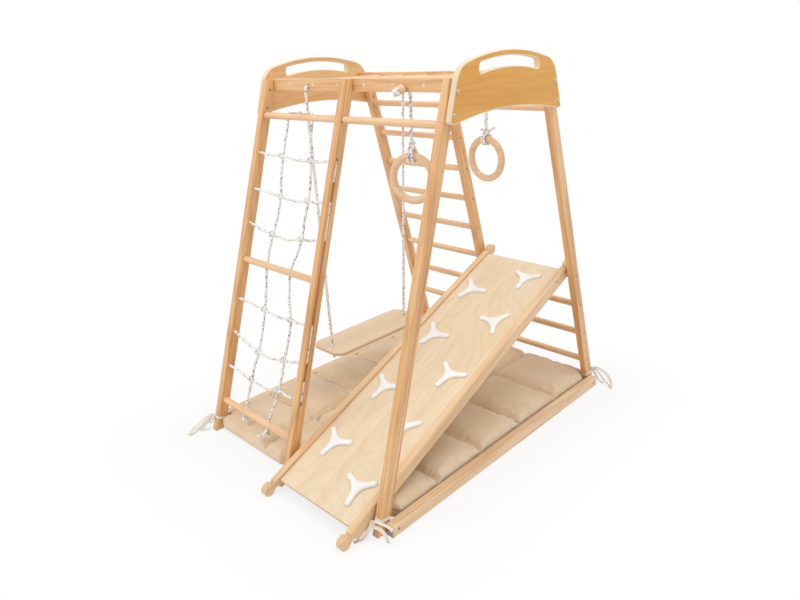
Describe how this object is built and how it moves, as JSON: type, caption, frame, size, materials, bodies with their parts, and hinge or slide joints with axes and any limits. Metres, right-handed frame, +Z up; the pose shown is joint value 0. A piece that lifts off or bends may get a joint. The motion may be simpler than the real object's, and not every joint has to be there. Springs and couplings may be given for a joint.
{
  "type": "indoor climbing frame",
  "caption": "Free-standing wooden climbing frame with leaning posts, rungs, overhead bars, a rope net, a hook-on slide with grips, a swing, gym rings and a quilted mat.",
  "frame": {"origin": "on the floor, under the middle of the whole object without its hanging ropes and tape ties", "axes": "+X along the beams from the net's bay to the slide's bay, +Y from the slide's foot to the back, +Z up"},
  "size_m": [1.0039, 1.361, 1.331],
  "materials": {
    "birch": "clear satin varnish on pale birch",
    "panel_plywood": "clear satin varnish on birch plywood, with pale layered edges",
    "board_plywood": "satin lacquer on pale birch plywood",
    "ring_wood": "clear satin varnish on turned wood",
    "rope": "matt braided cord with dark flecks",
    "grip_plastic": "smooth white",
    "mat_cloth": "quilted cloth, matt",
    "cotton_tape": "flat woven tape, matt"
  },
  "bodies": {
    "frame": {"post_front_left": "birch", "post_front_middle": "birch", "post_front_right": "birch", "post_back_left": "birch", "post_back_middle": "birch", "post_back_right": "birch", "monkey_bar_1": "birch", "monkey_bar_2": "birch", "monkey_bar_3": "birch", "monkey_bar_4": "birch", "monkey_bar_5": "birch", "monkey_bar_6": "birch", "rung_front_left_top": "birch", "rung_front_left_middle": "birch", "rung_front_left_bottom": "birch", "rung_front_right_top": "birch", "rung_back_left_1": "birch", "rung_back_left_2": "birch", "rung_back_left_3": "birch", "rung_back_left_4": "birch", "rung_back_left_5": "birch", "rung_back_left_6": "birch", "rung_back_left_7": "birch", "rung_back_left_8": "birch", "rung_back_left_9": "birch", "rung_back_right_1": "birch", "slide_hook_rung": "birch", "rung_back_right_7": "birch", "rung_back_right_8": "birch", "rung_back_right_9": "birch", "beam_front": "birch", "beam_back": "birch", "floor_rail_left": "birch", "floor_rail_right": "birch", "end_panel_left": "panel_plywood", "end_panel_right": "panel_plywood", "climbing_net": "rope", "floor_mat": "mat_cloth", "tie_front_left": "cotton_tape", "tie_front_right": "cotton_tape", "tie_back_right": "cotton_tape"},
    "swing": {"swing_seat": "board_plywood", "swing_rope_front": "rope", "swing_rope_back": "rope"},
    "front_ring": {"ring_front": "ring_wood", "ring_rope_front": "rope"},
    "back_ring": {"ring_back": "ring_wood", "ring_rope_back": "rope"},
    "slide": {"slide_rail_left": "birch", "slide_rail_right": "birch", "slide_board": "board_plywood", "slide_grip_1": "grip_plastic", "slide_grip_2": "grip_plastic", "slide_grip_3": "grip_plastic", "slide_grip_4": "grip_plastic", "slide_grip_5": "grip_plastic", "slide_grip_6": "grip_plastic", "slide_grip_7": "grip_plastic", "slide_grip_8": "grip_plastic", "slide_grip_9": "grip_plastic"}
  },
  "joints": [
    {"name": "swing_pivot", "type": "hinge", "parent": "frame", "child": "swing", "pos_m": [-0.217, 0.05545, 1.235], "axis": [0, 1, 0], "range_deg": [-8, 30]},
    {"name": "front_ring_pivot", "type": "hinge", "parent": "frame", "child": "front_ring", "pos_m": [0.23295, -0.14745, 1.235], "axis": [0, 1, 0], "range_deg": [-35, 35]},
    {"name": "back_ring_pivot", "type": "hinge", "parent": "frame", "child": "back_ring", "pos_m": [0.21695, 0.25835, 1.235], "axis": [0, 1, 0], "range_deg": [-35, 35]},
    {"name": "slide_hook", "type": "hinge", "parent": "frame", "child": "slide", "pos_m": [0.2166, 0.51567, 0.492], "axis": [-1, 0, 0], "range_deg": [0, 25]}
  ]
}
